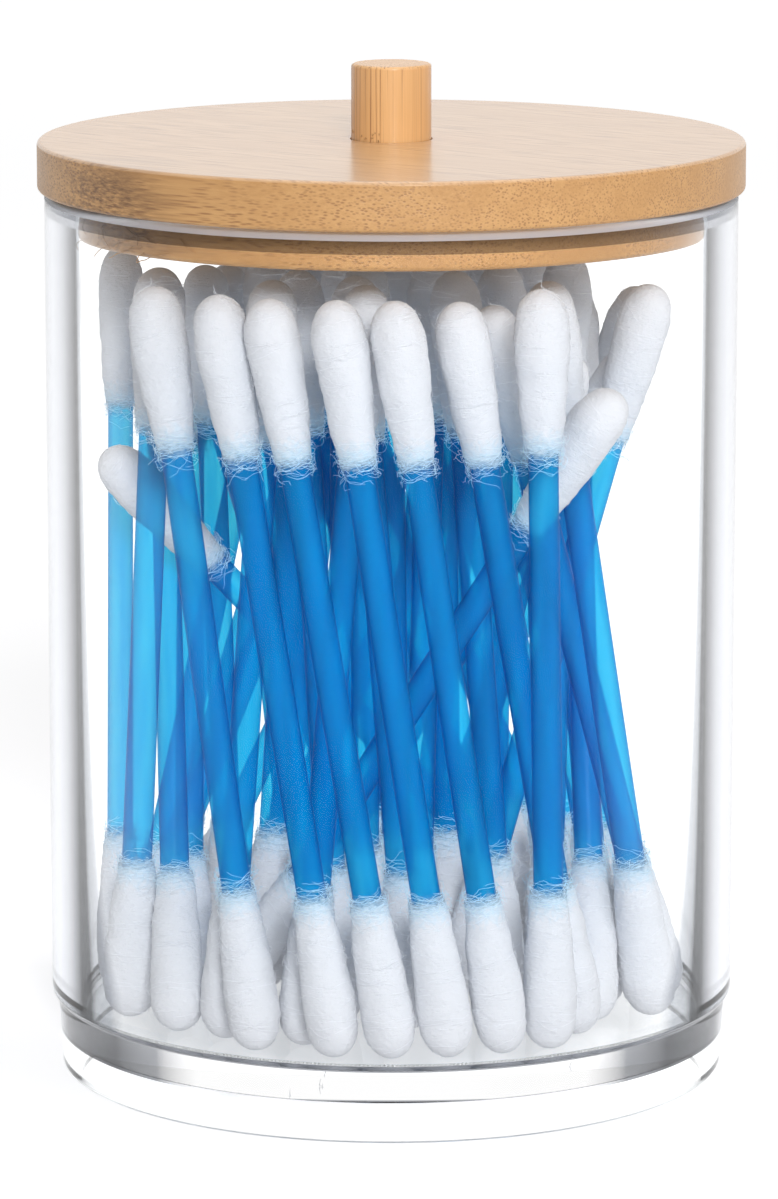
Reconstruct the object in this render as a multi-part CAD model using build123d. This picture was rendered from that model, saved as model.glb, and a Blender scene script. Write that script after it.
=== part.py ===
from build123d import *

import math
import os

import numpy as np

# A clear round jar with a turned bamboo lid, a dowel knob and a filling of double-ended cotton swabs.
# Millimetres, +Z up. The origin is the centre of the ring that the jar stands on.

# Cotton swabs
swab_length = 76.5
stem_diameter = 2.85
tip_diameter = 5.3
tip_length = 16.5
tip_end_diameter = 2.6
tip_shoulder_diameter = 4.6
tip_neck_diameter = 3.6
tip_shoulder_reach = 1.3
tip_belly_reach = 4.2
swab_sides = 6

# Jar, moulded in one piece
body_diameter = 70.0
wall = 3.0
floor_thickness = 3.4
foot_recess = 3.9
foot_height = 7.6
foot_step = 0.6
foot_taper = 0.5
foot_ring_width = 2.4
foot_edge = 0.7
step_bevel = 0.45
floor_corner = 1.8
rim_edge = 0.7
rim_lead = 0.5

# Lid, turned in one piece
lid_diameter = 71.4
lid_thickness = 4.9
plug_depth = 4.2
plug_clearance = 0.4
plug_edge = 0.8
lid_edge = 0.45

# Knob, a plain dowel glued into a blind socket
knob_diameter = 8.1
knob_height = 7.6
socket_depth = 2.0
glue_gap = 0.1
knob_edge = 0.4

# How the swabs stand in the jar
headroom = 2.5
seat_gap = 0.05
swab_gap = 0.2
wall_gap = 0.15
foot_gap = 0.65
reach_scatter = 1.0
settle_slack = 0.03

# Swabs that show in front: bearing and reach of the head, then of the foot. A bearing is in degrees from +X,
# with -90 at the front, and a reach is a share of the way from the axis to the wall.
front_angles_and_shares = (
    (-143, 1.00, -121, 1.00),
    (-126, 1.00, -100, 1.00),
    (-114, 1.00, -88, 1.00),
    (-101, 1.00, -80, 1.00),
    (-90, 1.00, -68, 1.00),
    (-76, 1.00, -47, 1.00),
    (-61, 1.00, -57, 1.00),
    (-50, 0.70, -27, 1.00),
    (-41, 1.00, -153, 0.62),
    (-5, 1.00, 16, 0.25),
    (10, 0.97, 132, 0.45),
    (-172, 1.00, 30, 0.85),
    (166, 1.00, 178, 0.96),
    (-155, 0.82, -149, 1.00),
    (-120, 0.76, -136, 1.00),
    (-95, 0.76, -110, 1.00),
    (-20, 0.85, 75, 0.80),
    (-62, 0.72, -10, 0.92),
)
# Swabs behind and inside those, in rings: how many, their reach, their twist from head to foot in degrees,
# and the bearings where each ring starts and ends
ring_counts = (8, 7, 10, 9, 5)
ring_reach_shares = (1.00, 0.93, 0.70, 0.47, 0.24)
ring_twist_angles = (78, -70, -40, 35, -20)
ring_start_angles = (20, 25, 0, 0, 0)
ring_end_angles = (160, 165, 200, 360, 360)

# Worked out from the sizes above
body_radius = body_diameter / 2
inner_radius = body_radius - wall
floor_top = foot_recess + floor_thickness
jar_height = floor_top + swab_length + headroom + plug_depth
foot_top_radius = body_radius - foot_step
foot_radius = foot_top_radius - foot_taper
recess_radius = foot_radius - foot_ring_width
plug_radius = inner_radius - plug_clearance
lid_top = jar_height + lid_thickness
tip_profile = (
    (0.0, tip_end_diameter / 2),
    (tip_shoulder_reach, tip_shoulder_diameter / 2),
    (tip_belly_reach, tip_diameter / 2),
    (tip_length, tip_neck_diameter / 2),
)


def corner(sketch, x, z):
    """The corner of a section nearest to a radius and a height."""
    return sketch.vertices().sort_by_distance((x, z))[0]


def jar_body():
    """Wall, floor and foot ring as one revolved section."""
    with BuildPart() as jar:
        with BuildSketch(Plane.XZ) as section:
            with BuildLine():
                Polyline(
                    (0, foot_recess),
                    (recess_radius, foot_recess),
                    (recess_radius, 0),
                    (foot_radius, 0),
                    (foot_top_radius, foot_height),
                    (body_radius, foot_height + step_bevel),
                    (body_radius, jar_height),
                    (inner_radius, jar_height),
                    (inner_radius, floor_top),
                    (0, floor_top),
                    close=True,
                )
            make_face()
            chamfer(corner(section, inner_radius, floor_top), floor_corner)
            chamfer(corner(section, foot_radius, 0), foot_edge)
            chamfer(corner(section, body_radius, jar_height), rim_edge)
            chamfer(corner(section, inner_radius, jar_height), rim_lead)
        revolve(axis=Axis.Z)
    return jar.part


def lid():
    """Disc with a stepped plug under it and a socket for the knob in its top."""
    lid_radius = lid_diameter / 2
    socket_radius = knob_diameter / 2 + glue_gap
    with BuildPart() as turned:
        with BuildSketch(Plane.XZ) as section:
            with BuildLine():
                Polyline(
                    (0, jar_height - plug_depth),
                    (plug_radius, jar_height - plug_depth),
                    (plug_radius, jar_height),
                    (lid_radius, jar_height),
                    (lid_radius, lid_top),
                    (socket_radius, lid_top),
                    (socket_radius, lid_top - socket_depth),
                    (0, lid_top - socket_depth),
                    close=True,
                )
            make_face()
            chamfer(corner(section, lid_radius, lid_top), lid_edge)
            chamfer(corner(section, lid_radius, jar_height), lid_edge)
            chamfer(corner(section, plug_radius, jar_height - plug_depth), plug_edge)
        revolve(axis=Axis.Z)
    return turned.part


def knob():
    """Dowel standing on the floor of its socket, with an eased top edge."""
    with BuildPart(Plane.XY.offset(lid_top - socket_depth)) as dowel:
        Cylinder(knob_diameter / 2, socket_depth + knob_height, align=(Align.CENTER, Align.CENTER, Align.MIN))
        chamfer(dowel.faces().sort_by(Axis.Z)[-1].edges(), knob_edge)
    return dowel.part


def cotton_tip():
    """Teardrop of cotton along +Z from its rounded end to its neck, in bands of flat facets."""
    flat_share = math.cos(math.pi / swab_sides)
    tip = Part()
    for band in zip(tip_profile, tip_profile[1:]):
        (narrow, narrow_radius), (wide, wide_radius) = sorted(band, key=lambda station: station[1])
        height = abs(wide - narrow)
        slope = math.degrees(math.atan2((wide_radius - narrow_radius) * flat_share, height))
        wide_end = Plane((0, 0, wide), x_dir=(1, 0, 0), z_dir=(0, 0, narrow - wide))
        tip += wide_end * extrude(RegularPolygon(wide_radius, swab_sides), height, taper=slope)
    return tip


def swab():
    """Stem butted between two cotton tips, standing on the origin along +Z."""
    lower_tip = cotton_tip()
    upper_tip = Plane((0, 0, swab_length), z_dir=(0, 0, -1)) * cotton_tip()
    stem_section = Plane.XY.offset(tip_length) * RegularPolygon(stem_diameter / 2, swab_sides)
    stem = extrude(stem_section, swab_length - 2 * tip_length)
    return Compound([lower_tip.solid(), stem.solid(), upper_tip.solid()])


def radius_at(along):
    """Radius of a swab at distances along it. Both ends are alike."""
    reaches = [reach for reach, _ in tip_profile] + [tip_length * 1.01]
    radii = [radius for _, radius in tip_profile] + [stem_diameter / 2]
    return np.interp(np.minimum(along, swab_length - along), reaches, radii)


def plan_point(reach, bearing):
    """Point of the jar's plan at a distance from the axis and a bearing in degrees."""
    return reach * math.cos(math.radians(bearing)), reach * math.sin(math.radians(bearing))


def first_places(seed=5, bearing_scatter=4.0, twist_scatter=10.0):
    """Plan places of every swab's foot and head before they settle."""
    chance = np.random.default_rng(seed)
    wall_reach = inner_radius - tip_diameter / 2 - wall_gap
    feet = []
    heads = []
    for head_bearing, head_share, foot_bearing, foot_share in front_angles_and_shares:
        heads.append(plan_point(wall_reach * head_share, head_bearing))
        feet.append(plan_point(wall_reach * foot_share, foot_bearing))
    rings = zip(ring_counts, ring_reach_shares, ring_twist_angles, ring_start_angles, ring_end_angles)
    for count, share, twist, start, end in rings:
        for place in range(count):
            bearing = start + (end - start) * (place + 0.5) / count + chance.normal(0, bearing_scatter)
            turn = bearing + twist + chance.normal(0, twist_scatter)
            heads.append(plan_point(wall_reach * share - abs(chance.normal(0, reach_scatter)), bearing))
            feet.append(plan_point(wall_reach * share - abs(chance.normal(0, reach_scatter)), turn))
    return np.array(feet), np.array(heads)


def standing(feet, heads):
    """Axis ends in space of swabs that stand on the floor, from their places in plan."""
    sine = np.linalg.norm(heads - feet, axis=1) / swab_length
    cosine = np.sqrt(1 - sine**2)
    lift = np.max([radius * sine - reach * cosine for reach, radius in tip_profile], axis=0)
    height = floor_top + seat_gap + lift
    return np.column_stack((feet, height)), np.column_stack((heads, height + swab_length * cosine))


def pushes(feet, heads, stations):
    """Plan moves that take each pair of swabs apart where they are deepest in each other, and that depth."""
    share = np.linspace(0, 1, stations)
    radii = radius_at(share * swab_length)
    low, high = standing(feet, heads)
    axes = high - low
    points = low[:, None] + share[:, None] * axes[:, None]
    offsets = points[:, :, None] - low
    other_share = np.clip(np.einsum("isjd,jd->isj", offsets, axes) / swab_length**2, 0, 1)
    apart = offsets - other_share[..., None] * axes
    overlap = radii[:, None] + radius_at(other_share * swab_length) + swab_gap - np.linalg.norm(apart, axis=-1)
    itself = np.arange(len(feet))
    overlap[itself, :, itself] = 0
    station = overlap.argmax(axis=1)
    one, other = np.indices(station.shape)
    depth = np.clip(overlap[one, station, other], 0, None)
    away = apart[one, station, other, :2]
    away = away / np.maximum(np.linalg.norm(away, axis=-1), 1e-9)[..., None]
    push = depth[..., None] * away / 4
    mine = share[station][..., None]
    theirs = other_share[one, station, other][..., None]
    foot_moves = (push * (1 - mine)).sum(1) - (push * (1 - theirs)).sum(0)
    head_moves = (push * mine).sum(1) - (push * theirs).sum(0)
    return foot_moves, head_moves, float(depth.max())


def settled(feet, heads, stations=41, most_steps=500, rate=1.3):
    """Moves the swabs apart, and off the wall, until all stand clear of each other."""
    foot_limit = inner_radius - floor_corner - foot_gap - tip_end_diameter / 2
    head_limit = inner_radius - tip_diameter / 2 - wall_gap
    for _ in range(most_steps):
        for ends, limit in ((feet, foot_limit), (heads, head_limit)):
            reach = np.linalg.norm(ends, axis=1)
            ends *= np.minimum(1, limit / np.maximum(reach, limit))[:, None]
        foot_moves, head_moves, depth = pushes(feet, heads, stations)
        if depth < settle_slack:
            break
        feet += rate * foot_moves
        heads += rate * head_moves
    print("swabs", len(feet), "deepest into the gap between them", round(depth, 3))
    return standing(feet, heads)


def main():
    os.makedirs("parts", exist_ok=True)
    export_step(jar_body(), "parts/jar_body.step")
    export_step(lid(), "parts/lid.step")
    export_step(knob(), "parts/knob.step")
    upright_swab = swab()
    low, high = settled(*first_places())
    for number, (foot, head) in enumerate(zip(low, high), start=1):
        stand = Plane(tuple(foot), z_dir=tuple(head - foot))
        export_step(stand * upright_swab, f"parts/swab_{number:02d}.step")


main()
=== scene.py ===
# %% [markdown]
# # A jar of cotton swabs
#
# A clear plastic jar with a bamboo lid, filled with cotton swabs on blue stems. The solids of the jar, the
# lid, the knob and every swab are already made at their real size. This lesson dresses them: it models a
# finer form of each piece in the same place and gives it the finish of the real thing. Lengths are in
# metres.

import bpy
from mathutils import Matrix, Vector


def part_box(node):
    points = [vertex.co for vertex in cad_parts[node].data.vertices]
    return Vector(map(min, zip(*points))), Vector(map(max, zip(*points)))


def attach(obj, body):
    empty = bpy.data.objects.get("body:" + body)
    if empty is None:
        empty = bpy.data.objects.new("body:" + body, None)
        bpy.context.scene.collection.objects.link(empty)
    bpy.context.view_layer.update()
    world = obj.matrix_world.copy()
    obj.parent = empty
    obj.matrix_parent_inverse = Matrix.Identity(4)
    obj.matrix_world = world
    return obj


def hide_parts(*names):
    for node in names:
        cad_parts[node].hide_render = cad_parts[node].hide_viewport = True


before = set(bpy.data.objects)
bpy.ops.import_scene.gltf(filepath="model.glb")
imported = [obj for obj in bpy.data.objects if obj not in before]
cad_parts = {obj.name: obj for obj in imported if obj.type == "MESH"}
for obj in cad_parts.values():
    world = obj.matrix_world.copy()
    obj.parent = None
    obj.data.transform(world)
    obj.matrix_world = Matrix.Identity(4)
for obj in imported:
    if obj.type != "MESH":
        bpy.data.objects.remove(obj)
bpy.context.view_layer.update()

# %% [markdown]
# ## The camera
#
# The picture was taken with a long lens from a little above the lid. The place and the focal length were
# found by matching the ellipses of the lid, the step and the foot, so no lens shift is needed. A real
# photographer would move a tripod: here the camera is added at its place and tilted down.

# %% Camera
import math
import random

import bmesh
import bpy
import numpy as np
from mathutils import Matrix, Vector

scene = bpy.context.scene
photo_height = 1199
focal_pixels = 6311
camera_tilt = math.radians(10.90)
camera_place = (-0.00024, -0.6332, 0.1700)

bpy.ops.object.camera_add(location=camera_place, rotation=(math.pi / 2 - camera_tilt, 0, 0))
camera = bpy.context.object
camera.name = "photo_camera"
camera.data.sensor_width = 36
camera.data.lens = focal_pixels / photo_height * camera.data.sensor_width
scene.camera = camera
print("lens", round(camera.data.lens, 1), "mm")

# %% [markdown]
# ## Floor and light
#
# The object stands on a white table in a bright room. The table is a plain sheet that takes the shadow. It
# adds a little light of its own, for what looks straight at it or through clear plastic, so that it reads
# as white without more light on the object. Far off, where the lamps fade, it adds more. Three soft boxes
# do the rest: one above, one beside the camera and a weak one at the right.

# %% Floor and soft boxes
def add_node(tree, kind, values=None, **settings):
    """Makes a shader node, sets its own settings, then the values of its sockets by name or number."""
    node = tree.nodes.new(kind)
    for key, value in settings.items():
        setattr(node, key, value)
    for key, value in (values or {}).items():
        node.inputs[key].default_value = value
    return node


def sees_background(tree):
    """1 for rays from the camera and for what is seen in gloss or through clear plastic, else 0."""
    path = add_node(tree, "ShaderNodeLightPath")
    sharp = add_node(tree, "ShaderNodeMath", operation="MAXIMUM")
    any_of = add_node(tree, "ShaderNodeMath", operation="MAXIMUM")
    tree.links.new(path.outputs["Is Glossy Ray"], sharp.inputs[0])
    tree.links.new(path.outputs["Is Transmission Ray"], sharp.inputs[1])
    tree.links.new(path.outputs["Is Camera Ray"], any_of.inputs[0])
    tree.links.new(sharp.outputs[0], any_of.inputs[1])
    return any_of.outputs[0]


def empty_material(name):
    """A material with only an output, and its node tree."""
    material = bpy.data.materials.new(name)
    material.use_nodes = True
    tree = material.node_tree
    tree.nodes.clear()
    return material, tree, add_node(tree, "ShaderNodeOutputMaterial")


def white_table():
    """Matt white with a little light of its own for what looks at it."""
    material, tree, output = empty_material("white_table")
    matt = add_node(tree, "ShaderNodeBsdfDiffuse", {"Color": (0.86, 0.86, 0.87, 1)})
    glow = add_node(tree, "ShaderNodeEmission", {"Color": (1, 1, 1, 1)})
    place = add_node(tree, "ShaderNodeTexCoord")
    distance = add_node(tree, "ShaderNodeVectorMath", operation="LENGTH")
    level = add_node(tree, "ShaderNodeMapRange",
                     {"From Min": 0.1, "From Max": 1.2, "To Min": 0.40, "To Max": 0.80})
    share = add_node(tree, "ShaderNodeMath", operation="MULTIPLY")
    path = add_node(tree, "ShaderNodeLightPath")
    lifted = add_node(tree, "ShaderNodeMath", {1: 0.24}, operation="MULTIPLY_ADD")
    both = add_node(tree, "ShaderNodeAddShader")
    tree.links.new(place.outputs["Object"], distance.inputs[0])
    tree.links.new(distance.outputs["Value"], level.inputs["Value"])
    tree.links.new(level.outputs[0], share.inputs[0])
    tree.links.new(sees_background(tree), share.inputs[1])
    tree.links.new(path.outputs["Is Transmission Ray"], lifted.inputs[0])
    tree.links.new(share.outputs[0], lifted.inputs[2])
    tree.links.new(lifted.outputs[0], glow.inputs["Strength"])
    tree.links.new(matt.outputs[0], both.inputs[0])
    tree.links.new(glow.outputs[0], both.inputs[1])
    tree.links.new(both.outputs[0], output.inputs["Surface"])
    return material


table_size = 8.0
bpy.ops.mesh.primitive_plane_add(size=table_size, location=(0, 0, 0))
table = bpy.context.object
table.name = "table"
table.data.materials.append(white_table())


def soft_box(name, place, size, power):
    """A square area lamp that faces the middle of the jar."""
    aim = Vector((0, 0, 0.05)) - Vector(place)
    bpy.ops.object.light_add(type="AREA", location=place, rotation=aim.to_track_quat("-Z", "Y").to_euler())
    lamp = bpy.context.object
    lamp.name = name
    lamp.data.size = size
    lamp.data.energy = power
    return lamp


soft_box("box_above", (0.05, 0.10, 0.75), 0.60, 2.2)
soft_box("box_front", (0.12, -0.80, 0.45), 0.20, 4.9)
soft_box("box_right", (0.60, -0.35, 0.35), 0.40, 0.8)

room_light = 0.24
world = bpy.data.worlds.new("bright_room")
world.use_nodes = True
scene.world = world
room = world.node_tree
room.nodes.clear()
room_output = add_node(room, "ShaderNodeOutputWorld")
room_glow = add_node(room, "ShaderNodeBackground", {"Color": (1, 1, 1, 1)})
room_level = add_node(room, "ShaderNodeMapRange", {"To Min": room_light, "To Max": 1.0})
room.links.new(sees_background(room), room_level.inputs["Value"])
room.links.new(room_level.outputs[0], room_glow.inputs["Strength"])
room.links.new(room_glow.outputs[0], room_output.inputs["Surface"])
scene.view_settings.view_transform = "Standard"
scene.cycles.transparent_max_bounces = 32
scene.cycles.transmission_bounces = 12
scene.cycles.diffuse_bounces = 2
scene.cycles.max_bounces = 14

# %% [markdown]
# ## Helpers for modelling
#
# An operator works on all that is selected, so each step first selects just what it needs. These helpers
# pick edges and faces by where they are: by their distance from the axis and their height, as one would
# click them by hand.

# %% Selecting by place
MM = 0.001
merge_distance = 0.0005 * MM
height_slack = 0.01 * MM
radius_slack = 0.02 * MM


def only(obj):
    """Selects this object alone and makes it active."""
    bpy.ops.object.select_all(action="DESELECT")
    obj.select_set(True)
    bpy.context.view_layer.objects.active = obj


def edit(obj):
    """Opens an object alone in edit mode with nothing selected."""
    only(obj)
    bpy.ops.object.mode_set(mode="EDIT")
    bpy.ops.mesh.select_all(action="DESELECT")


def close(obj):
    """Leaves edit mode and tidies the mesh: doubles merged, faces outward."""
    bpy.ops.mesh.select_all(action="SELECT")
    bpy.ops.mesh.remove_doubles(threshold=merge_distance)
    bpy.ops.mesh.normals_make_consistent(inside=False)
    bpy.ops.object.mode_set(mode="OBJECT")


def pick_face(obj, height, upward, reach=None):
    """Selects flat faces at a height that look up or down, within a reach of the axis if one is given."""
    bpy.ops.mesh.select_mode(type="FACE")
    mesh = bmesh.from_edit_mesh(obj.data)
    for face in mesh.faces:
        level = abs(face.calc_center_median().z - height) < height_slack
        inside = reach is None or max(v.co.xy.length for v in face.verts) < reach
        face.select_set(level and inside and face.normal.z * (1 if upward else -1) > 0.9)
    bmesh.update_edit_mesh(obj.data)


def pick_ring(obj, radius, height):
    """Selects the ring of edges at a distance from the axis and a height."""
    bpy.ops.mesh.select_mode(type="EDGE")
    mesh = bmesh.from_edit_mesh(obj.data)
    for edge in mesh.edges:
        level = all(abs(v.co.z - height) < height_slack for v in edge.verts)
        edge.select_set(level and all(abs(v.co.xy.length - radius) < radius_slack for v in edge.verts))
    bmesh.update_edit_mesh(obj.data)


def round_ring(obj, radius, height, size, segments):
    """Rounds one ring of edges."""
    pick_ring(obj, radius, height)
    bpy.ops.mesh.bevel(offset=size, segments=segments, profile=0.5, affect="EDGES")


def smooth_over(obj, angle=35):
    """Smooth shading over the bevels, with the normals of the large faces kept."""
    only(obj)
    bpy.ops.object.shade_smooth_by_angle(angle=math.radians(angle))
    bpy.ops.object.modifier_add(type="WEIGHTED_NORMAL")
    bpy.context.object.modifiers[-1].keep_sharp = True
    bpy.ops.object.modifier_apply(modifier=bpy.context.object.modifiers[-1].name)


# %% [markdown]
# ## The jar
#
# The real jar is one moulding of clear plastic: a thick straight wall, a floor and a foot that steps in a
# little. It could be spun from a section. Here it starts as a cylinder, because each step then matches one
# feature: the mouth is an inset and an extrusion down, and the wall is cut four times, at the slab, at
# both ends of the step and under the rim, where a grey band of painted shade starts. The lower rings are
# drawn in to make the foot, and the recess under the floor is a second inset.

# %% Jar
jar_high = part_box("jar_body")[1]
jar_radius = jar_high.x
jar_top = jar_high.z
wall = 3.0 * MM
floor_top = 7.3 * MM
foot_height = 7.6 * MM
foot_step = 0.6 * MM
foot_taper = 0.5 * MM
foot_top_radius = jar_radius - foot_step
foot_radius = foot_top_radius - foot_taper
step_bevel = 0.45 * MM
foot_ring = 2.4 * MM
foot_recess = 3.9 * MM
recess_rounding = 0.1 * MM
# Depth of the grey band of painted shade under the rim, for the shade of the lid's overhang on the plug.
shade_band_depth = 2.2 * MM
inner_radius = jar_radius - wall
jar_sides = 512
shade_band_low = jar_top - shade_band_depth
slab_low = foot_recess + recess_rounding
slab_radius = foot_radius + (foot_top_radius - foot_radius) * slab_low / foot_height

bpy.ops.object.select_all(action="DESELECT")
bpy.ops.mesh.primitive_cylinder_add(vertices=jar_sides, radius=jar_radius, depth=jar_top,
                                    location=(0, 0, jar_top / 2))
jar = bpy.context.object
jar.name = "clear_jar"
bpy.ops.object.transform_apply(location=True, rotation=True, scale=True)

edit(jar)
pick_face(jar, jar_top, upward=True)
bpy.ops.mesh.inset(thickness=wall)
bpy.ops.mesh.extrude_region_move(TRANSFORM_OT_translate={"value": (0, 0, floor_top - jar_top)})
for cut_height in (slab_low, foot_height, foot_height + step_bevel, shade_band_low):
    bpy.ops.mesh.select_all(action="SELECT")
    bpy.ops.mesh.bisect(plane_co=(0, 0, cut_height), plane_no=(0, 0, 1))
for ring_height, ring_radius in ((0, foot_radius), (slab_low, slab_radius), (foot_height, foot_top_radius)):
    pick_ring(jar, jar_radius, ring_height)
    draw_in = ring_radius / jar_radius
    bpy.ops.transform.resize(value=(draw_in, draw_in, 1), center_override=(0, 0, 0))
pick_face(jar, 0, upward=False)
bpy.ops.mesh.inset(thickness=foot_ring)
bpy.ops.mesh.extrude_region_move(TRANSFORM_OT_translate={"value": (0, 0, foot_recess)})
print("jar before rounding", len(jar.data.vertices))

# %% [markdown]
# ## The jar's edges
#
# Clear plastic shows its edges as lines of light, so every ring of edges is rounded, each by its own size.
# Then both faces of the floor get a middle point: one huge flat face would shade badly beside the small
# ones.

# %% Jar edges
recess_radius = foot_radius - foot_ring
for ring_radius, ring_height, size, segments in (
    (jar_radius, jar_top, 0.9 * MM, 5),
    (inner_radius, jar_top, 0.5 * MM, 4),
    (inner_radius, floor_top, 0.6 * MM, 4),
    (jar_radius, foot_height + step_bevel, 0.22 * MM, 3),
    (foot_top_radius, foot_height, 0.2 * MM, 3),
    (foot_radius, 0, 0.6 * MM, 4),
    (recess_radius, 0, 0.3 * MM, 3),
    (recess_radius, foot_recess, recess_rounding, 2),
):
    round_ring(jar, ring_radius, ring_height, size, segments)
for flat_height, upward in ((floor_top, True), (foot_recess, False)):
    pick_face(jar, flat_height, upward, reach=inner_radius)
    bpy.ops.mesh.poke()
close(jar)
smooth_over(jar, angle=60)
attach(jar, "jar")
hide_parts("jar_body")
jar.visible_shadow = False
jar.visible_diffuse = False
print("jar", len(jar.data.polygons), "faces")

# %% [markdown]
# ## The lid
#
# The lid is turned from a bamboo board: a disc, with a plug under it that drops into the mouth, and a
# blind hole for the knob. As with the jar, a cylinder takes one inset and one extrusion for each of the
# two, and the rims are rounded.

# %% Lid
lid_low, lid_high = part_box("lid")
knob_low, knob_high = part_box("knob")
lid_radius = lid_high.x
lid_top = lid_high.z
plug_clearance = 0.4 * MM
plug_radius = inner_radius - plug_clearance
knob_radius = knob_high.x
glue_gap = 0.1 * MM
socket_radius = knob_radius + glue_gap
lid_sides = 256

bpy.ops.object.select_all(action="DESELECT")
bpy.ops.mesh.primitive_cylinder_add(vertices=lid_sides, radius=lid_radius, depth=lid_top - jar_top,
                                    location=(0, 0, (lid_top + jar_top) / 2))
lid = bpy.context.object
lid.name = "bamboo_lid"
bpy.ops.object.transform_apply(location=True, rotation=True, scale=True)

edit(lid)
pick_face(lid, jar_top, upward=False)
bpy.ops.mesh.inset(thickness=lid_radius - plug_radius)
bpy.ops.mesh.extrude_region_move(TRANSFORM_OT_translate={"value": (0, 0, lid_low.z - jar_top)})
pick_face(lid, lid_top, upward=True)
bpy.ops.mesh.inset(thickness=lid_radius - socket_radius)
bpy.ops.mesh.extrude_region_move(TRANSFORM_OT_translate={"value": (0, 0, knob_low.z - lid_top)})
for ring_radius, ring_height, size, segments in (
    (lid_radius, lid_top, 0.45 * MM, 4),
    (lid_radius, jar_top, 0.4 * MM, 4),
    (plug_radius, lid_low.z, 0.6 * MM, 4),
    (socket_radius, lid_top, 0.08 * MM, 2),
):
    round_ring(lid, ring_radius, ring_height, size, segments)
close(lid)
smooth_over(lid)
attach(lid, "lid")
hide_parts("lid")
print("lid", len(lid.data.polygons), "faces")

# %% [markdown]
# ## The knob
#
# The knob is a length of bamboo dowel. A split stick is never quite round, so some of its long edges are
# pressed in a little, which makes the shallow flutes that catch the light. Chance picks them, from a fixed
# start, so that every run gives the same knob.

# %% Knob
chance = random.Random(11)
knob_sides = 72
knob_edge = 0.35 * MM
flute_share = 0.35
flute_depths = (0.006, 0.022)

bpy.ops.object.select_all(action="DESELECT")
bpy.ops.mesh.primitive_cylinder_add(vertices=knob_sides, radius=knob_radius, depth=knob_high.z - knob_low.z,
                                    location=(0, 0, (knob_high.z + knob_low.z) / 2))
knob = bpy.context.object
knob.name = "bamboo_knob"
bpy.ops.object.transform_apply(location=True, rotation=True, scale=True)
edit(knob)
round_ring(knob, knob_radius, knob_high.z, knob_edge, 4)
for side in range(knob_sides):
    if chance.random() > flute_share:
        continue
    bearing = math.tau * side / knob_sides
    bpy.ops.mesh.select_mode(type="VERT")
    dowel = bmesh.from_edit_mesh(knob.data)
    for vertex in dowel.verts:
        turned = math.atan2(vertex.co.x, vertex.co.y) % math.tau
        vertex.select_set(abs(turned - bearing) < 0.5 * math.tau / knob_sides)
    bmesh.update_edit_mesh(knob.data)
    press = 1 - chance.uniform(*flute_depths)
    bpy.ops.transform.resize(value=(press, press, 1), center_override=(0, 0, 0))
close(knob)
smooth_over(knob, angle=50)
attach(knob, "lid")
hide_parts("knob")
print("knob", len(knob.data.polygons), "faces")

# %% [markdown]
# ## A cotton tip
#
# A machine winds a sliver of cotton round each end of the stem and presses it into a drop. The half
# outline of the drop is drawn as a chain of edges and spun round. Two Displace modifiers give it life:
# broad lumps, and the slanted ridges that the winding leaves. The round end is spared. Four drops are
# made, so that neighbours never look the same.

# %% Spun drop
swab_length = 76.5 * MM
tip_length = 16.5 * MM
tip_outline = ((0.0, 0.0), (0.75, 0.12), (1.35, 0.45), (1.9, 1.0), (2.3, 1.8), (2.53, 2.8), (2.63, 4.0),
               (2.64, 5.2), (2.60, 6.5), (2.53, 7.8), (2.44, 9.1), (2.34, 10.4), (2.22, 11.7), (2.09, 13.0),
               (1.97, 14.2), (1.86, 15.3), (1.74, 16.2), (1.60, 17.0), (1.46, 17.6))
tip_sides = 18


def spun_drop(name):
    """Draws the half outline as a chain of edges from one vertex and spins it once round the axis."""
    bpy.ops.object.select_all(action="DESELECT")
    bpy.ops.mesh.primitive_plane_add(size=MM, location=(0, 0, 0))
    drop = bpy.context.object
    drop.name = name
    bpy.ops.object.mode_set(mode="EDIT")
    bpy.ops.mesh.select_all(action="SELECT")
    bpy.ops.mesh.merge(type="CENTER")
    for (radius, height), (next_radius, next_height) in zip(tip_outline, tip_outline[1:]):
        step = ((next_radius - radius) * MM, 0, (next_height - height) * MM)
        bpy.ops.mesh.extrude_vertices_move(TRANSFORM_OT_translate={"value": step})
    bpy.ops.mesh.select_all(action="SELECT")
    bpy.ops.mesh.spin(steps=tip_sides, angle=math.tau, center=(0, 0, 0), axis=(0, 0, 1))
    close(drop)
    return drop


def press_in(drop, texture, turn, slide, scale, strength):
    """Displaces a drop by a texture that is turned, slid and scaled with a helper axis."""
    bpy.ops.object.empty_add(location=slide, rotation=turn)
    guide = bpy.context.object
    guide.scale = (scale, scale, scale)
    bpy.context.view_layer.update()
    only(drop)
    bpy.ops.object.modifier_add(type="DISPLACE")
    press = drop.modifiers[-1]
    press.texture = texture
    press.texture_coords = "OBJECT"
    press.texture_coords_object = guide
    press.strength = strength
    press.mid_level = 0.5
    press.vertex_group = "belly"
    bpy.ops.object.modifier_apply(modifier=press.name)
    bpy.data.objects.remove(guide)


def spare_the_end(drop, shoulder=2.2 * MM):
    """Weights that let the end of a drop stay round: none at the pole, full from the shoulder on."""
    belly = drop.vertex_groups.new(name="belly")
    for vertex in drop.data.vertices:
        belly.add([vertex.index], min(1.0, vertex.co.z / shoulder), "REPLACE")


lump_texture = bpy.data.textures.new("cotton_lumps", type="CLOUDS")
lump_texture.noise_scale = 1.0
ridge_texture = bpy.data.textures.new("winding_ridges", type="WOOD")
ridge_texture.wood_type = "BANDNOISE"
ridge_texture.noise_scale = 1.2
ridge_texture.turbulence = 6.0
lump_size = 3.0 * MM
lump_height = 0.42 * MM
ridge_size = 2.2 * MM
ridge_height = 0.07 * MM
drop_count = 4

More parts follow.
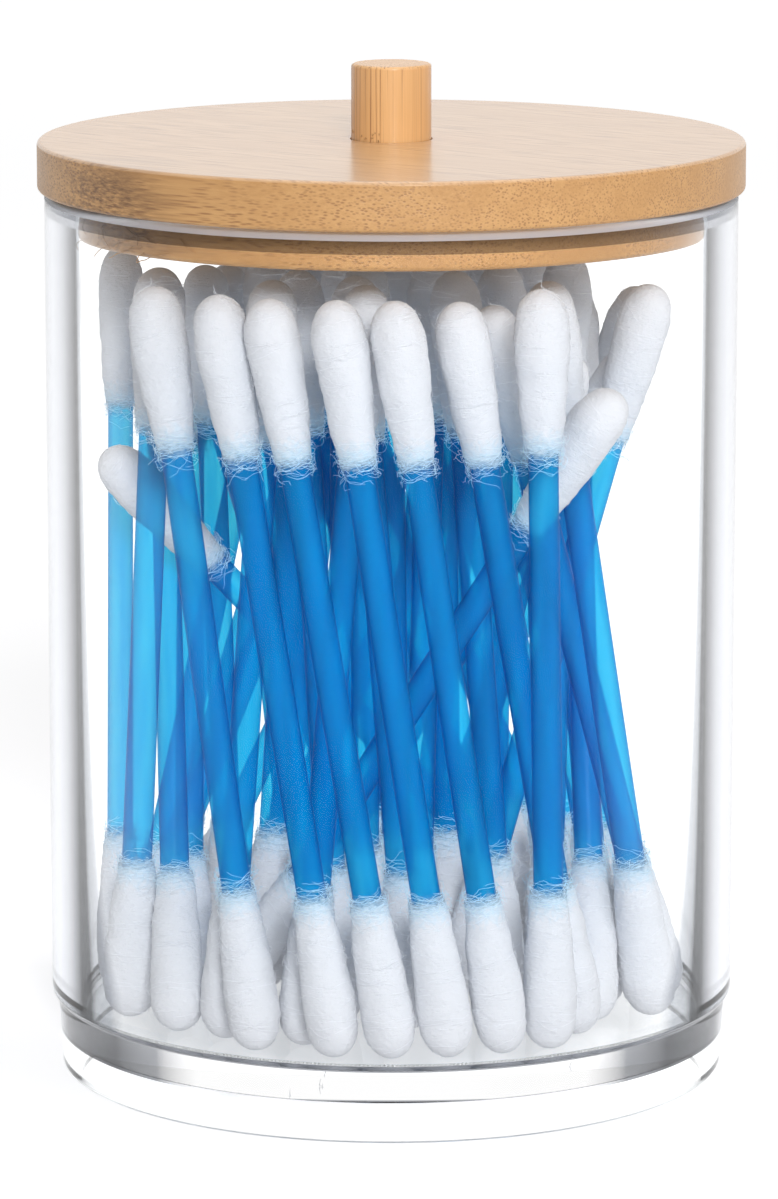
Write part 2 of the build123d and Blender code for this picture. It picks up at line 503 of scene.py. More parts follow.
drops = []
for number in range(drop_count):
    drop = spun_drop(f"drop_{number}")
    only(drop)
    bpy.ops.object.modifier_add(type="SUBSURF")
    drop.modifiers[-1].levels = 1
    drop.modifiers[-1].render_levels = 1
    bpy.ops.object.modifier_apply(modifier=drop.modifiers[-1].name)
    spare_the_end(drop)
    slide = [chance.uniform(-50, 50) * MM for axis in range(3)]
    slant = (chance.uniform(0.7, 1.0), chance.uniform(-0.3, 0.3), chance.uniform(0, math.tau))
    press_in(drop, lump_texture, (0, 0, 0), slide, lump_size, lump_height)
    press_in(drop, ridge_texture, slant, slide, ridge_size, ridge_height)
    drops.append(drop)
print("drops", [len(drop.data.polygons) for drop in drops])

# %% [markdown]
# ## Loose fibres
#
# Cotton is never tidy: short fibres stand off the drop, most of all at its neck, where the winding ends.
# Each fibre is a thin curve that starts on the cotton and wanders round it. Curves with a bevel are quick
# to draw in code, and they are turned into mesh so that they can be copied with the drop.

# %% Fibres
fibre_steps = 7
fibre_radius = 0.016 * MM
body_fibres = 44
neck_fibres = 60


def outline_radius(height):
    """Radius of the drop at a height along it, in metres."""
    return MM * float(np.interp(height / MM, [z for _, z in tip_outline], [r for r, _ in tip_outline]))


def fibre_points(neck):
    """Points of one fibre that wanders round the drop and lifts off it."""
    height = tip_length * (chance.uniform(0.90, 1.05) if neck else chance.uniform(0.04, 0.98))
    bearing = chance.uniform(0, math.tau)
    turn = chance.choice((-1, 1)) * chance.uniform(0.15, 0.50)
    climb = chance.gauss(0.03 if neck else 0.0, 0.16) * MM
    lift = chance.uniform(0.03, 0.24) * MM * (1.3 if neck else 0.7)
    stand_off = 0.02 * MM
    points = []
    for step in range(fibre_steps):
        reach = outline_radius(min(height, tip_length)) + stand_off
        points.append((reach * math.cos(bearing), reach * math.sin(bearing), height))
        bearing += turn * chance.uniform(0.2, 1.5)
        height += climb + chance.gauss(0, 0.16) * MM
        stand_off = max(0, stand_off + lift * chance.uniform(-0.6, 1.1))
    return points


def fibre_mesh(name, lines, radius):
    """A mesh of thin rods along lists of points."""
    curve = bpy.data.curves.new(name, "CURVE")
    curve.dimensions = "3D"
    curve.bevel_depth = radius
    curve.bevel_resolution = 0
    curve.resolution_u = 1
    for points in lines:
        line = curve.splines.new("POLY")
        line.points.add(len(points) - 1)
        for place, point in zip(line.points, points):
            place.co = (*point, 1)
    tuft = bpy.data.objects.new(name, curve)
    scene.collection.objects.link(tuft)
    only(tuft)
    bpy.ops.object.convert(target="MESH")
    return bpy.context.object


def join(parts, name):
    """Joins objects into the first and names it."""
    only(parts[0])
    for part in parts[1:]:
        part.select_set(True)
    bpy.ops.object.join()
    parts[0].name = name
    return parts[0]


fuzzy_drops = []
for number, drop in enumerate(drops):
    lines = [fibre_points(neck=fibre >= body_fibres) for fibre in range(body_fibres + neck_fibres)]
    tuft = fibre_mesh(f"tuft_{number}", lines, fibre_radius)
    fuzzy_drops.append(join([drop, tuft], f"fuzzy_drop_{number}"))
print("fuzzy drops", [len(drop.data.polygons) for drop in fuzzy_drops])

# %% [markdown]
# ## Torn fibres on the lid
#
# The lathe tore a few bamboo fibres at the plug's left side and at the knob's foot, and nobody cut them
# off. They are made like the cotton's: each starts at the wood and wanders down or along it.

# %% Torn fibres
def torn_fibre(radius, height, bearing, length, fall):
    """Points of one fibre that starts at a place of the round wood and curls away from it."""
    swing = chance.uniform(-0.06, 0.06)
    points = []
    for step in range(fibre_steps):
        share = step / (fibre_steps - 1)
        reach = radius + length * 0.06 * math.sin(math.pi * share) + 0.03 * MM
        turned = bearing + swing * share * length / MM
        drop_to = height - fall * length * share + chance.gauss(0, 0.06) * MM
        points.append((-reach * math.sin(turned), -reach * math.cos(turned), drop_to))
    return points


def torn_fibres(count, radius, low, heights, bearings, lengths, fall):
    """Fibres at chance places, with heights above a level and lengths in millimetres, bearings in degrees."""
    lines = []
    for fibre in range(count):
        height = low + chance.uniform(*heights) * MM
        bearing = math.radians(chance.uniform(*bearings))
        length = chance.uniform(*lengths) * MM
        lines.append(torn_fibre(radius, height, bearing, length, fall))
    return lines


plug_lines = torn_fibres(16, plug_radius, lid_low.z, (0.5, 3.0), (38, 68), (1.5, 4.0), fall=0.45)
knob_lines = torn_fibres(8, knob_radius, lid_top, (0.2, 1.0), (15, 75), (0.8, 1.6), fall=0.1)
torn = []
for name, lines, radius, node_name in (("plug_fibres", plug_lines, 0.045, "lid"),
                                       ("knob_fibres", knob_lines, 0.035, "knob")):
    tuft = fibre_mesh(name, lines, radius * MM)
    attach(tuft, "lid")
    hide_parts(node_name)
    torn.append(tuft)
print("torn fibres", [len(tuft.data.polygons) for tuft in torn])

# %% [markdown]
# ## One swab, copied to every place
#
# Every swab is the same product: a stem with a drop on each end. The stem is a plain rod that runs on
# inside the cotton. Four pairs of drops and one stem are made upright at the origin. Each mesh remembers
# its upright place in an attribute, so that fibres and tints still follow the swab when a copy leans in
# the jar. The faces of a pair are sorted into three material slots: the drop, its neck and the loose
# fibres.

# %% Pairs of drops and the stem
def remember_place(obj, name="swab_place"):
    """Keeps every vertex's own place as an attribute, in millimetres."""
    places = np.empty(len(obj.data.vertices) * 3, np.float32)
    obj.data.vertices.foreach_get("co", places)
    layer = obj.data.attributes.new(name, "FLOAT_VECTOR", "POINT")
    layer.data.foreach_set("vector", places / MM)


def copy_of(source, name, place):
    """A copy with its own mesh, moved to its place in the mesh itself."""
    copy = source.copy()
    copy.data = source.data.copy()
    copy.name = name
    copy.data.name = name
    scene.collection.objects.link(copy)
    copy.data.transform(place)
    return copy


def split_neck(pair, start=14.8):
    """Gives the wound faces of both necks the second material slot and the loose fibres the third."""
    mesh = pair.data
    heights = [entry.vector.z for entry in mesh.attributes["swab_place"].data]
    wound = [len(vertex.groups) > 0 for vertex in mesh.vertices]
    for face in mesh.polygons:
        if not wound[face.vertices[0]]:
            face.material_index = 2
        else:
            face.material_index = int(all(heights[v] > start for v in face.vertices))
    bpy.ops.object.vertex_group_remove(all=True)


for drop in fuzzy_drops:
    only(drop)
    bpy.ops.object.shade_smooth()
    remember_place(drop)

upside_down = Matrix.Translation((0, 0, swab_length)) @ Matrix.Rotation(math.pi, 4, "X")
pairs = []
for number, drop in enumerate(fuzzy_drops):
    lower = copy_of(drop, f"lower_{number}", Matrix.Identity(4))
    upper = copy_of(fuzzy_drops[number - 1], f"upper_{number}", upside_down)
    pairs.append(join([lower, upper], f"pair_{number}"))
    split_neck(pairs[-1])

stem_radius = 1.425 * MM
stem_in_cotton = 9.0 * MM
stem_sides = 24
stem_edge = 0.2 * MM
stem_low = tip_length - stem_in_cotton
bpy.ops.object.select_all(action="DESELECT")
bpy.ops.mesh.primitive_cylinder_add(vertices=stem_sides, radius=stem_radius, depth=swab_length - 2 * stem_low,
                                    location=(0, 0, swab_length / 2))
rod = bpy.context.object
rod.name = "stem"
bpy.ops.object.transform_apply(location=True, rotation=True, scale=True)
edit(rod)
for ring_height in (stem_low, swab_length - stem_low):
    round_ring(rod, stem_radius, ring_height, stem_edge, 2)
close(rod)
smooth_over(rod, angle=50)
remember_place(rod)
print("pairs", len(pairs), "stem", len(rod.data.polygons), "faces")

# %% [markdown]
# ## Copies in the jar
#
# Every swab solid already stands where it should. The direction in which its points spread most is its
# axis, which a singular value decomposition finds. An upright pair and a stem are copied onto that axis
# and rolled by chance, and the upright ones are then thrown away.

# %% Copies in the jar
def leaning(node_name, roll):
    """The matrix that stands an upright swab on the axis of a solid, rolled about itself."""
    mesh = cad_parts[node_name].data
    places = np.empty(len(mesh.vertices) * 3)
    mesh.vertices.foreach_get("co", places)
    places = places.reshape(-1, 3)
    middle = places.mean(axis=0)
    axis = np.linalg.svd(places - middle, full_matrices=False)[2][0]
    axis = Vector(axis if axis[2] > 0 else -axis)
    turn = axis.to_track_quat("Z", "X").to_matrix().to_4x4()
    low_end = Vector(middle) - axis * swab_length / 2
    return Matrix.Translation(low_end) @ turn @ Matrix.Rotation(roll, 4, "Z")


swab_nodes = sorted(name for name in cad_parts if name.startswith("swab_"))
stems = []
cottons = []
for number, node_name in enumerate(swab_nodes, start=1):
    place = leaning(node_name, chance.uniform(0, math.tau))
    cotton_piece = copy_of(pairs[chance.randrange(len(pairs))], f"cotton_{number:02d}", place)
    stem_piece = copy_of(rod, f"stem_{number:02d}", place)
    for piece, slot in ((cotton_piece, "cotton"), (stem_piece, "stem_plastic")):
        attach(piece, "jar")
        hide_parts(node_name)
    stem_piece.visible_shadow = False
    stems.append(stem_piece)
    cottons.append(cotton_piece)
for spare in fuzzy_drops + pairs + [rod]:
    bpy.data.objects.remove(spare)
print("swabs", len(swab_nodes))

# %% [markdown]
# ## Clear plastic
#
# The jar is clear styrene. In front of white it has no outline of its own: the dark lines along its edges
# come from the thick wall and the heavy foot, which bend the view aside to the dark ends of the room.
# Here those lines are painted shade that stands in for the dark room: Layer Weight knows at which angle a
# face is seen, so a ramp of greys over it paints them: a narrow one where the wall's inside starts to
# mirror, a broad one at the ends of the solid foot. A dark grey paints the line of the step too. Near the
# table the painted wall line grows wider, because more of the dark room is seen there. Under the frosted
# rim a grey band paints the shade that the lid's overhang casts on the plug behind the wall. The front
# wall shows almost no mirror image, as through a polarising filter: a dark Specular Tint does the same.
# Lamps must reach the swabs inside, so the jar was told above not to stop them.

# %% Clear plastic
def cool_grey(level):
    """A grey with a little more green and blue in it, as thick clear plastic has; the darker greys are
    painted shade.
    """
    return level, min(1, level * 1.05), min(1, level * 1.16), 1


def clear_plastic(name, stops, frost=0.0):
    """Clear plastic, frosted a little if asked, tinted with painted shade by pairs of how far it is turned
    away and a grey.
    """
    material, tree, output = empty_material(name)
    glass = add_node(tree, "ShaderNodeBsdfPrincipled",
                     {"Roughness": frost, "IOR": 1.5, "Transmission Weight": 1 - frost,
                      "Specular Tint": (0.06, 0.06, 0.06, 1)})
    glance = add_node(tree, "ShaderNodeLayerWeight", {"Blend": 0.5})
    tint = add_node(tree, "ShaderNodeValToRGB")
    greys = tint.color_ramp.elements
    for number, (turned, grey) in enumerate((stops[0], stops[-1])):
        greys[number].position = turned
        greys[number].color = cool_grey(grey)
    for turned, grey in stops[1:-1]:
        greys.new(turned).color = cool_grey(grey)
    tree.links.new(glance.outputs["Facing"], tint.inputs["Fac"])
    tree.links.new(tint.outputs["Color"], glass.inputs["Base Color"])
    tree.links.new(glass.outputs[0], output.inputs["Surface"])
    return material


def narrow_upwards(material, edge=0.6, low=12 * MM, high=75 * MM, top_squeeze=5.0, top_paleness=0.06):
    """Squeezes the painted dark line inside an edge of the ramp, and lightens it, the higher up the wall it
    is.
    """
    tree = material.node_tree
    ramp = next(node for node in tree.nodes if node.type == "VALTORGB")
    glass = next(node for node in tree.nodes if node.type == "BSDF_PRINCIPLED")
    glance = next(node for node in tree.nodes if node.type == "LAYER_WEIGHT")
    place = add_node(tree, "ShaderNodeTexCoord")
    up = add_node(tree, "ShaderNodeSeparateXYZ")
    squeeze = add_node(tree, "ShaderNodeMapRange",
                       {"From Min": low, "From Max": high, "To Min": 1.0, "To Max": top_squeeze})
    lighter = add_node(tree, "ShaderNodeMapRange",
                       {"From Min": low, "From Max": high, "To Max": top_paleness})
    inside = add_node(tree, "ShaderNodeMath", {0: edge}, operation="SUBTRACT")
    spread = add_node(tree, "ShaderNodeMath", operation="MULTIPLY")
    moved = add_node(tree, "ShaderNodeMath", {0: edge}, operation="SUBTRACT")
    lower = add_node(tree, "ShaderNodeMath", operation="MINIMUM")
    paled = add_node(tree, "ShaderNodeMix", {"B": (1, 1, 1, 1)}, data_type="RGBA")
    tree.links.new(place.outputs["Object"], up.inputs["Vector"])
    tree.links.new(up.outputs["Z"], squeeze.inputs["Value"])
    tree.links.new(up.outputs["Z"], lighter.inputs["Value"])
    tree.links.new(glance.outputs["Facing"], inside.inputs[1])
    tree.links.new(inside.outputs[0], spread.inputs[0])
    tree.links.new(squeeze.outputs[0], spread.inputs[1])
    tree.links.new(spread.outputs[0], moved.inputs[1])
    tree.links.new(moved.outputs[0], lower.inputs[0])
    tree.links.new(glance.outputs["Facing"], lower.inputs[1])
    tree.links.new(lower.outputs[0], ramp.inputs["Fac"])
    tree.links.new(lighter.outputs[0], paled.inputs["Factor"])
    tree.links.new(ramp.outputs["Color"], paled.inputs["A"])
    tree.links.new(paled.outputs["Result"], glass.inputs["Base Color"])
    return material


# Greys of the painted dark lines on the wall and the foot: painted shade for the dark room seen through the
# plastic.
wall_painted_lines = ((0.41, 1.0), (0.46, 0.36), (0.52, 0.20), (0.55, 0.02), (0.61, 0.02), (0.645, 0.12), (0.70, 0.36),
             (0.78, 0.60), (1.0, 0.66))
foot_painted_lines = ((0.24, 1.0), (0.34, 0.12), (0.48, 0.02), (0.80, 0.03), (1.0, 0.30))
for plastic in (
    clear_plastic("clear_inside", ((0.0, 1.0), (1.0, 0.97))),
    narrow_upwards(clear_plastic("clear_wall", wall_painted_lines)),
    # A dark grey paints the line of the step: painted shade.
    clear_plastic("clear_painted_step", ((0.0, 0.22), (1.0, 0.10))),
    clear_plastic("clear_foot", foot_painted_lines),
    # A grey band of painted shade under the rim, for the shade of the lid's overhang on the plug.
    clear_plastic("clear_painted_shade_band", ((0.0, 0.20), (1.0, 0.26))),
    clear_plastic("clear_rim", ((0.0, 0.74), (1.0, 0.70)), frost=0.4),
):
    jar.data.materials.append(plastic)
step_margin = 0.15 * MM
rim_depth = 0.85 * MM
within_wall = inner_radius + 1.0 * MM
zone_starts = (slab_low, foot_height - step_margin, foot_height + step_bevel + step_margin, shade_band_low,
               jar_top - rim_depth)
zone_slots = (0, 3, 2, 1, 4, 5)
for face in jar.data.polygons:
    middle = face.center
    outside = middle.xy.length > within_wall and face.normal.xy.dot(middle.xy) > 0
    zone = sum(middle.z > start for start in zone_starts)
    face.material_index = zone_slots[zone] if outside else 0
print("clear plastic on", jar.name)

# %% [markdown]
# ## Blue stems
#
# The stems are tubes of tinted, cloudy plastic. One stem over white is cyan, and every stem behind it
# deepens the blue, so the middle of the bundle is a strong blue. A Transparent shader with a tint does
# just that, because tints multiply where stems overlap. The cloudiness is a share of body colour with a
# soft gloss. One looks along the wall of a tube at its sides and straight through it in the middle, so
# the tint darkens to the sides. The body colour darkens to the sides as well, by the same Layer Weight:
# that is painted shade, and with the tint it makes the stem look round. Only the near side of a stem has
# colour. Its far side, told by Backfacing, is clear, so that each stem counts once.

# %% Blue plastic
def blue_plastic():
    """See-through blue plastic: tint, cloudy body colour with painted shade at the sides, and a soft gloss.
    """
    material, tree, output = empty_material("blue_plastic")
    place = add_node(tree, "ShaderNodeAttribute", attribute_name="swab_place")
    drawn_out = add_node(tree, "ShaderNodeMapping")
    drawn_out.inputs["Scale"].default_value = (1.2, 1.2, 0.10)
    cloud = add_node(tree, "ShaderNodeTexNoise", {"Scale": 1.0, "Detail": 2.0})
    face_tint = add_node(tree, "ShaderNodeValToRGB")
    face_tint.color_ramp.elements[0].position = 0.35
    face_tint.color_ramp.elements[0].color = (0.02, 0.53, 0.84, 1)
    face_tint.color_ramp.elements[1].position = 0.65
    face_tint.color_ramp.elements[1].color = (0.055, 0.67, 0.87, 1)
    glance = add_node(tree, "ShaderNodeLayerWeight", {"Blend": 0.5})
    rim = add_node(tree, "ShaderNodeMapRange", {"From Min": 0.10, "From Max": 0.90})
    tint = add_node(tree, "ShaderNodeMix", {"B": (0.003, 0.29, 0.65, 1)}, data_type="RGBA")
    # Painted shade: the body colour turns darker towards the sides of the stem.
    shaded = add_node(tree, "ShaderNodeMix", {"B": (0.0, 0.17, 0.52, 1)}, data_type="RGBA")
    see_through = add_node(tree, "ShaderNodeBsdfTransparent")
    body = add_node(tree, "ShaderNodeBsdfPrincipled",
                    {"Roughness": 0.28, "IOR": 1.49, "Specular IOR Level": 0.06})
    body_colour = add_node(tree, "ShaderNodeValToRGB")
    body_colour.color_ramp.elements[0].color = (0.0, 0.25, 0.66, 1)
    body_colour.color_ramp.elements[1].color = (0.0, 0.33, 0.78, 1)
    either = add_node(tree, "ShaderNodeMixShader", {"Fac": 0.53})
    clear = add_node(tree, "ShaderNodeBsdfTransparent")
    side = add_node(tree, "ShaderNodeNewGeometry")
    near_side = add_node(tree, "ShaderNodeMixShader")
    tree.links.new(place.outputs["Vector"], drawn_out.inputs["Vector"])
    tree.links.new(drawn_out.outputs["Vector"], cloud.inputs["Vector"])
    tree.links.new(cloud.outputs["Fac"], face_tint.inputs["Fac"])
    tree.links.new(cloud.outputs["Fac"], body_colour.inputs["Fac"])
    tree.links.new(glance.outputs["Facing"], rim.inputs["Value"])
    tree.links.new(rim.outputs[0], tint.inputs["Factor"])
    tree.links.new(face_tint.outputs["Color"], tint.inputs["A"])
    tree.links.new(tint.outputs["Result"], see_through.inputs["Color"])
    tree.links.new(rim.outputs[0], shaded.inputs["Factor"])
    tree.links.new(body_colour.outputs["Color"], shaded.inputs["A"])
    tree.links.new(shaded.outputs["Result"], body.inputs["Base Color"])
    tree.links.new(see_through.outputs[0], either.inputs[1])
    tree.links.new(body.outputs[0], either.inputs[2])
    tree.links.new(side.outputs["Backfacing"], near_side.inputs["Fac"])
    tree.links.new(either.outputs[0], near_side.inputs[1])
    tree.links.new(clear.outputs[0], near_side.inputs[2])
    tree.links.new(near_side.outputs[0], output.inputs["Surface"])
    return material


stem_material = blue_plastic()
for piece in stems:
    piece.data.materials.append(stem_material)
print("blue plastic on", len(stems), "stems")

# %% [markdown]
# ## Cotton
#
# Cotton is a soft matt white. Its fibres lie almost across the swab, so the bump is a noise squeezed along
# the axis. Near the neck the winding is thin and the blue stem tints it. Sheen gives the soft light edge
# of fuzz. At the neck itself the winding thins out to nothing: there a second slot has the same cotton
# with an Alpha that fades in streaks. Light wanders far inside cotton, so tips in the shade are never
# dark. A faint glow stands in for that light, and a stronger one in a third slot for the loose fibres,
# which catch light from all sides.

# %% Cotton
def cotton(name, fading=False, glow=0.06):
    """Matt white with fine wound fibres and a blue tint where they are thin, fading at the neck if asked."""
    material, tree, output = empty_material(name)
    place = add_node(tree, "ShaderNodeAttribute", attribute_name="swab_place")
    along = add_node(tree, "ShaderNodeSeparateXYZ")
    wound = add_node(tree, "ShaderNodeMapping")
    wound.inputs["Rotation"].default_value = (0.30, 0.12, 0)
    wound.inputs["Scale"].default_value = (0.8, 0.8, 5.0)
    fibres = add_node(tree, "ShaderNodeTexNoise", {"Scale": 1.6, "Detail": 6.0, "Roughness": 0.65})
    matted = add_node(tree, "ShaderNodeTexNoise", {"Scale": 2.2, "Detail": 4.0})
    tint = add_node(tree, "ShaderNodeValToRGB")
    ramp = tint.color_ramp
    ramp.elements[0].position = 0.0
    ramp.elements[0].color = (0.80, 0.825, 0.875, 1)
    ramp.elements[1].position = 1.0
    ramp.elements[1].color = (0.38, 0.70, 0.92, 1)
    middle = ramp.elements.new(0.74)
    middle.color = (0.76, 0.805, 0.875, 1)
    wobble = add_node(tree, "ShaderNodeMath", {1: 3.0}, operation="MULTIPLY")
    depth = add_node(tree, "ShaderNodeMath", operation="ADD")
    share = add_node(tree, "ShaderNodeMapRange", {"From Min": 2.0, "From Max": 19.5})
    height = add_node(tree, "ShaderNodeMath", operation="ADD")
    bump = add_node(tree, "ShaderNodeBump", {"Strength": 0.65, "Distance": 0.25 * MM})
    skin = add_node(tree, "ShaderNodeBsdfPrincipled",
                    {"Roughness": 0.95, "Specular IOR Level": 0.1, "Sheen Weight": 0.25,
                     "Sheen Roughness": 0.5, "Emission Strength": glow})
    material.cycles.emission_sampling = "NONE"
    tree.links.new(place.outputs["Vector"], wound.inputs["Vector"])
    tree.links.new(wound.outputs["Vector"], fibres.inputs["Vector"])
    tree.links.new(place.outputs["Vector"], matted.inputs["Vector"])
    tree.links.new(place.outputs["Vector"], along.inputs["Vector"])
    tree.links.new(matted.outputs["Fac"], wobble.inputs[0])
    tree.links.new(along.outputs["Z"], depth.inputs[0])
    tree.links.new(wobble.outputs[0], depth.inputs[1])
    tree.links.new(depth.outputs[0], share.inputs["Value"])
    tree.links.new(share.outputs[0], tint.inputs["Fac"])
    tree.links.new(tint.outputs["Color"], skin.inputs["Base Color"])
    tree.links.new(tint.outputs["Color"], skin.inputs["Emission Color"])
    tree.links.new(fibres.outputs["Fac"], height.inputs[0])
    tree.links.new(matted.outputs["Fac"], height.inputs[1])
    tree.links.new(height.outputs[0], bump.inputs["Height"])
    tree.links.new(bump.outputs["Normal"], skin.inputs["Normal"])
    tree.links.new(skin.outputs[0], output.inputs["Surface"])
    if fading:
        streaks = add_node(tree, "ShaderNodeMath", {1: 1.5}, operation="MULTIPLY_ADD")
        cover = add_node(tree, "ShaderNodeMapRange",
                         {"From Min": 17.0, "From Max": 18.4, "To Min": 1.0, "To Max": 0.0})
        tree.links.new(height.outputs[0], streaks.inputs[0])
        tree.links.new(along.outputs["Z"], streaks.inputs[2])
        tree.links.new(streaks.outputs[0], cover.inputs["Value"])
        tree.links.new(cover.outputs[0], skin.inputs["Alpha"])
    return material


cotton_materials = (
    cotton("cotton"),
    cotton("cotton_neck", fading=True),
    cotton("cotton_fibres", glow=0.30),
)
for piece in cottons:
    for material in cotton_materials:
        piece.data.materials.append(material)
print("cotton on", len(cottons), "pairs of tips")

# %% [markdown]
# ## Bamboo
#
# Bamboo has no growth rings. It is pale pith with bundles of darker fibre that run straight along the
# stalk. Cut across they are dots, and cut along they are long dashes. One solid texture stretched along
# the grain gives both, wherever the surface cuts it. The lid and the knob share it as a node group and
# only turn it their own way.

# %% Bamboo grain
def bamboo_grain():
    """Node group: tone, fibre mask and height of bamboo whose grain runs along X, from a place in metres."""
    group = bpy.data.node_groups.new("bamboo_grain", "ShaderNodeTree")
    for name, kind in (("Place", "NodeSocketVector"), ("Bundles", "NodeSocketFloat")):
        group.interface.new_socket(name, in_out="INPUT", socket_type=kind)
    for name in ("Tone", "Fibres", "Height"):
        group.interface.new_socket(name, in_out="OUTPUT", socket_type="NodeSocketFloat")
    start = add_node(group, "NodeGroupInput")
    end = add_node(group, "NodeGroupOutput")

    def stretched(scale):
        """The place squeezed by its own scale along and across the grain."""
        squeeze = add_node(group, "ShaderNodeMapping")
        squeeze.inputs["Scale"].default_value = scale
        group.links.new(start.outputs["Place"], squeeze.inputs["Vector"])
        return squeeze.outputs["Vector"]

    broad = add_node(group, "ShaderNodeTexNoise", {"Scale": 1.0, "Detail": 3.0, "Roughness": 0.6})
    fine = add_node(group, "ShaderNodeTexNoise", {"Scale": 1.0, "Detail": 3.0, "Roughness": 0.7})
    bundle = add_node(group, "ShaderNodeTexVoronoi", {"Scale": 1.0, "Randomness": 1.0})
    group.links.new(stretched((14, 190, 190)), broad.inputs["Vector"])
    group.links.new(stretched((110, 3200, 3200)), fine.inputs["Vector"])
    group.links.new(stretched((150, 3900, 3900)), bundle.inputs["Vector"])
    tone = add_node(group, "ShaderNodeMix", {"Factor": 0.45})
    group.links.new(broad.outputs["Fac"], tone.inputs["A"])
    group.links.new(fine.outputs["Fac"], tone.inputs["B"])
    core = add_node(group, "ShaderNodeMapRange", {"From Min": 0.48, "From Max": 0.18})
    group.links.new(bundle.outputs["Distance"], core.inputs["Value"])
    patchy = add_node(group, "ShaderNodeMapRange", {"From Min": 0.30, "From Max": 0.55})
    group.links.new(broad.outputs["Fac"], patchy.inputs["Value"])
    fibres = add_node(group, "ShaderNodeMath", operation="MULTIPLY")
    group.links.new(core.outputs[0], fibres.inputs[0])
    group.links.new(patchy.outputs[0], fibres.inputs[1])
    strength = add_node(group, "ShaderNodeMath", operation="MULTIPLY")
    group.links.new(fibres.outputs[0], strength.inputs[0])
    group.links.new(start.outputs["Bundles"], strength.inputs[1])
    height = add_node(group, "ShaderNodeMath", operation="SUBTRACT")
    group.links.new(fine.outputs["Fac"], height.inputs[0])
    group.links.new(strength.outputs[0], height.inputs[1])
    group.links.new(tone.outputs["Result"], end.inputs["Tone"])
    group.links.new(strength.outputs[0], end.inputs["Fibres"])
    group.links.new(height.outputs[0], end.inputs["Height"])
    return group


grain_group = bamboo_grain()
print("group", grain_group.name)

# %% [markdown]
# ## Wood of the lid and of the knob
#
# A clear lacquer lies over the top of the lid: at a low angle it mirrors the white room, so the top looks
# pale. The top's wood colours are also a paler copy of the edge's, which is painted light. The edge is
# left matt, so it is a second material of the same wood. The lid also has a dark, rough stain in one
# place of its edge, which is a soft ball of colour broken up by the grain. The dowel's grain stands
# upright.

# %% Bamboo of the lid and of the knob
def stain_mask(tree, place, tone, middle, size):
    """A soft ball round a place of the wood, broken up by the tone of the grain."""
    ball = add_node(tree, "ShaderNodeMapping")
    ball.inputs["Scale"].default_value = [1 / s for s in size]
    ball.inputs["Location"].default_value = [-m / s for m, s in zip(middle, size)]
    reach = add_node(tree, "ShaderNodeVectorMath", operation="LENGTH")
    near = add_node(tree, "ShaderNodeMapRange", {"From Min": 1.0, "From Max": 0.35})
    rough = add_node(tree, "ShaderNodeMapRange", {"From Min": 0.60, "From Max": 0.40})
    both = add_node(tree, "ShaderNodeMath", operation="MULTIPLY")
    tree.links.new(place, ball.inputs["Vector"])
    tree.links.new(ball.outputs["Vector"], reach.inputs[0])
    tree.links.new(reach.outputs["Value"], near.inputs["Value"])
    tree.links.new(tone, rough.inputs["Value"])
    tree.links.new(near.outputs[0], both.inputs[0])
    tree.links.new(rough.outputs[0], both.inputs[1])
    return both.outputs[0]


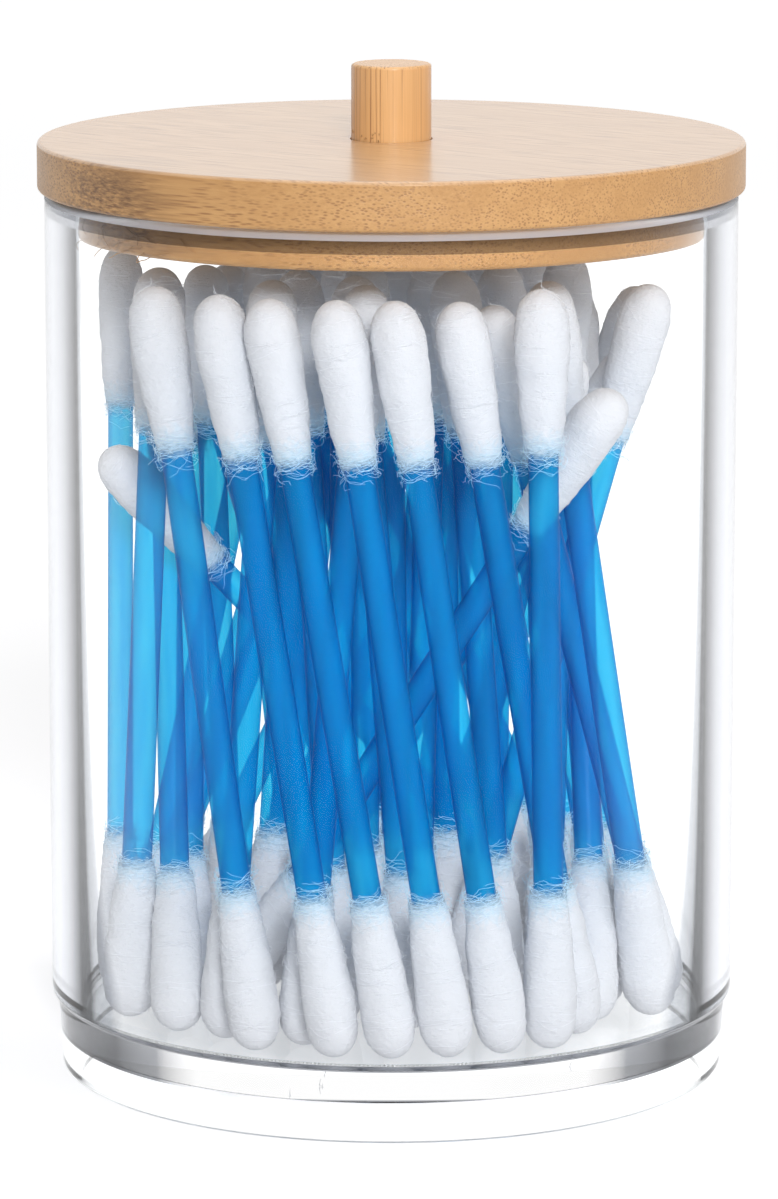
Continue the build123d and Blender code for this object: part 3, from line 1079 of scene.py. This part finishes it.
def bamboo(name, turn, bundles, pale, deep, fibre_colour, coat, stain=None, squeeze=(1, 1, 1)):
    """Lacquered bamboo with its grain turned from X, and a stain of a middle and a size if one is given."""
    material, tree, output = empty_material(name)
    place = add_node(tree, "ShaderNodeTexCoord")
    turned = add_node(tree, "ShaderNodeMapping")
    turned.inputs["Rotation"].default_value = turn
    turned.inputs["Scale"].default_value = squeeze
    grain = add_node(tree, "ShaderNodeGroup", node_tree=grain_group)
    grain.inputs["Bundles"].default_value = bundles
    ground = add_node(tree, "ShaderNodeValToRGB")
    ground.color_ramp.elements[0].position = 0.32
    ground.color_ramp.elements[0].color = deep
    ground.color_ramp.elements[1].position = 0.68
    ground.color_ramp.elements[1].color = pale
    fibred = add_node(tree, "ShaderNodeMix", {"B": fibre_colour}, data_type="RGBA")
    bump = add_node(tree, "ShaderNodeBump", {"Strength": 0.35, "Distance": 0.08 * MM})
    wood = add_node(tree, "ShaderNodeBsdfPrincipled",
                    {"Roughness": 0.42, "IOR": 1.45, "Coat Weight": coat, "Coat Roughness": 0.2})
    tree.links.new(place.outputs["Object"], turned.inputs["Vector"])
    tree.links.new(turned.outputs["Vector"], grain.inputs["Place"])
    tree.links.new(grain.outputs["Tone"], ground.inputs["Fac"])
    tree.links.new(ground.outputs["Color"], fibred.inputs["A"])
    tree.links.new(grain.outputs["Fibres"], fibred.inputs["Factor"])
    colour = fibred.outputs["Result"]
    if stain:
        stained = add_node(tree, "ShaderNodeMix", {"B": (0.105, 0.048, 0.022, 1)}, data_type="RGBA")
        tree.links.new(stain_mask(tree, place.outputs["Object"], grain.outputs["Tone"], *stain),
                       stained.inputs["Factor"])
        tree.links.new(colour, stained.inputs["A"])
        colour = stained.outputs["Result"]
    tree.links.new(colour, wood.inputs["Base Color"])
    tree.links.new(grain.outputs["Height"], bump.inputs["Height"])
    tree.links.new(bump.outputs["Normal"], wood.inputs["Normal"])
    tree.links.new(wood.outputs[0], output.inputs["Surface"])
    return material


grain_turn = math.radians(36)
stain_bearing = math.radians(54)
stain_height = jar_top + 0.6 * MM
stain_middle = (-lid_radius * math.sin(stain_bearing), -lid_radius * math.cos(stain_bearing), stain_height)
stain_size = (15 * MM, 12 * MM, 6 * MM)
board = ((0, 0, grain_turn), 0.8)
edge_colours = ((0.64, 0.365, 0.150, 1), (0.48, 0.25, 0.09, 1), (0.29, 0.135, 0.05, 1))
# The top's colours are a paler copy of the edge's: painted light, beside the lacquer's own mirror image.
painted_light_top_colours = ((0.70, 0.43, 0.215, 1), (0.55, 0.31, 0.14, 1), (0.30, 0.145, 0.058, 1))
stain = (stain_middle, stain_size)
lid.data.materials.append(bamboo("bamboo_edge", *board, *edge_colours, 0.1, stain))
lid.data.materials.append(bamboo("bamboo_top", *board, *painted_light_top_colours, 0.85, stain))
for face in lid.data.polygons:
    face.material_index = int(face.normal.z > 0.5)
upright_stick = ((0, math.pi / 2, 0), 0.9)
knob_colours = ((0.86, 0.51, 0.225, 1), (0.66, 0.35, 0.125, 1), (0.34, 0.15, 0.052, 1))
long_grain = (1.2, 1.2, 0.2)
knob.data.materials.append(bamboo("bamboo_dowel", *upright_stick, *knob_colours, 0.5, squeeze=long_grain))
for tuft in torn:
    tuft.data.materials.append(lid.data.materials["bamboo_edge"])
print("bamboo on", lid.name, knob.name)
